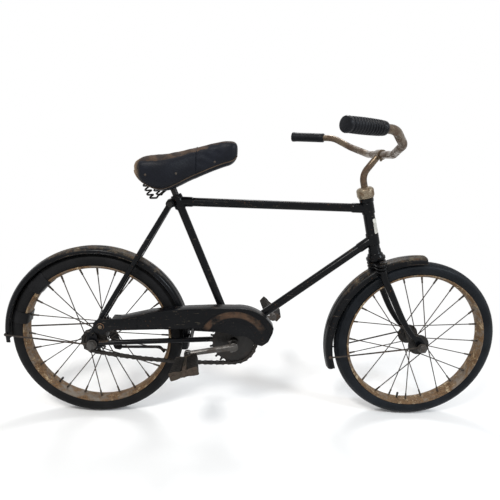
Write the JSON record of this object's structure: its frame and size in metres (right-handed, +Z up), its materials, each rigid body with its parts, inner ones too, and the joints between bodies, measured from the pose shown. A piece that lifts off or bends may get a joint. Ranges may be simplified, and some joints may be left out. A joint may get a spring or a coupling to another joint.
{
  "type": "child bicycle",
  "caption": "Old steel child's bicycle with small wheels, coil-sprung saddle, half chain case, curved mudguards and a raised handlebar; the wheels, cranks, pedals and steering turn.",
  "frame": {"origin": "the rider's place on top of the saddle, in the middle of the bicycle", "axes": "+X forward, +Y to the rider's left, +Z up"},
  "size_m": [1.078, 0.5352, 0.6377],
  "materials": {
    "black_paint": "old gloss paint, chipped and rusty at the edges",
    "worn_chrome": "pitted chrome with brown rust",
    "dull_steel": "dull steel with rust",
    "oily_steel": "oily, brown",
    "rusty_rim": "rusty, with remains of pale paint",
    "tyre_rubber": "matt, dusty",
    "black_rubber": "matt, worn",
    "saddle_cover": "worn smooth, brown where it is rubbed"
  },
  "bodies": {
    "frame": {"head_tube": "black_paint", "top_tube": "black_paint", "down_tube": "black_paint", "seat_tube": "black_paint", "seat_stays": "black_paint", "chain_stays": "black_paint", "axle_plates": "black_paint", "rear_axle": "dull_steel", "rear_sprocket": "oily_steel", "chain": "oily_steel", "chain_case": "black_paint", "rear_guard": "black_paint", "rear_guard_stays": "dull_steel", "seat_post": "worn_chrome", "saddle": "saddle_cover", "saddle_springs": "dull_steel", "hub_arm": "black_paint"},
    "steering": {"fork": "black_paint", "head_nut": "worn_chrome", "stem": "worn_chrome", "handlebar": "worn_chrome", "grips": "black_rubber", "front_guard": "black_paint", "front_guard_stays": "dull_steel", "front_axle": "dull_steel"},
    "front_wheel": {"front_tyre": "tyre_rubber", "front_rim": "rusty_rim", "front_spokes": "dull_steel", "front_hub": "dull_steel"},
    "rear_wheel": {"rear_tyre": "tyre_rubber", "rear_rim": "rusty_rim", "rear_spokes": "dull_steel", "rear_hub": "dull_steel"},
    "crank": {"chainring": "dull_steel", "right_crank": "dull_steel", "left_crank": "dull_steel", "right_pedal_spindle": "dull_steel", "left_pedal_spindle": "dull_steel"},
    "right_pedal": {"right_pedal_cage": "dull_steel", "right_pedal_treads": "black_rubber"},
    "left_pedal": {"left_pedal_cage": "dull_steel", "left_pedal_treads": "black_rubber"}
  },
  "joints": [
    {"name": "steering", "type": "hinge", "parent": "frame", "child": "steering", "pos_m": [0.41527, 0, -0.093], "axis": [-0.2588, 0, 0.9659], "range_deg": [-55, 55]},
    {"name": "front_wheel", "type": "hinge", "parent": "steering", "child": "front_wheel", "pos_m": [0.55026, 0, -0.38704], "axis": [0, 1, 0], "continuous": true},
    {"name": "rear_wheel", "type": "hinge", "parent": "frame", "child": "rear_wheel", "pos_m": [-0.14974, 0, -0.38704], "axis": [0, 1, 0], "continuous": true},
    {"name": "crank", "type": "hinge", "parent": "frame", "child": "crank", "pos_m": [0.14134, 0, -0.38404], "axis": [0, 1, 0], "continuous": true},
    {"name": "right_pedal", "type": "hinge", "parent": "crank", "child": "right_pedal", "pos_m": [0.04692, 0, -0.40137], "axis": [0, 1, 0], "continuous": true},
    {"name": "left_pedal", "type": "hinge", "parent": "crank", "child": "left_pedal", "pos_m": [0.23576, 0, -0.36671], "axis": [0, 1, 0], "continuous": true}
  ]
}
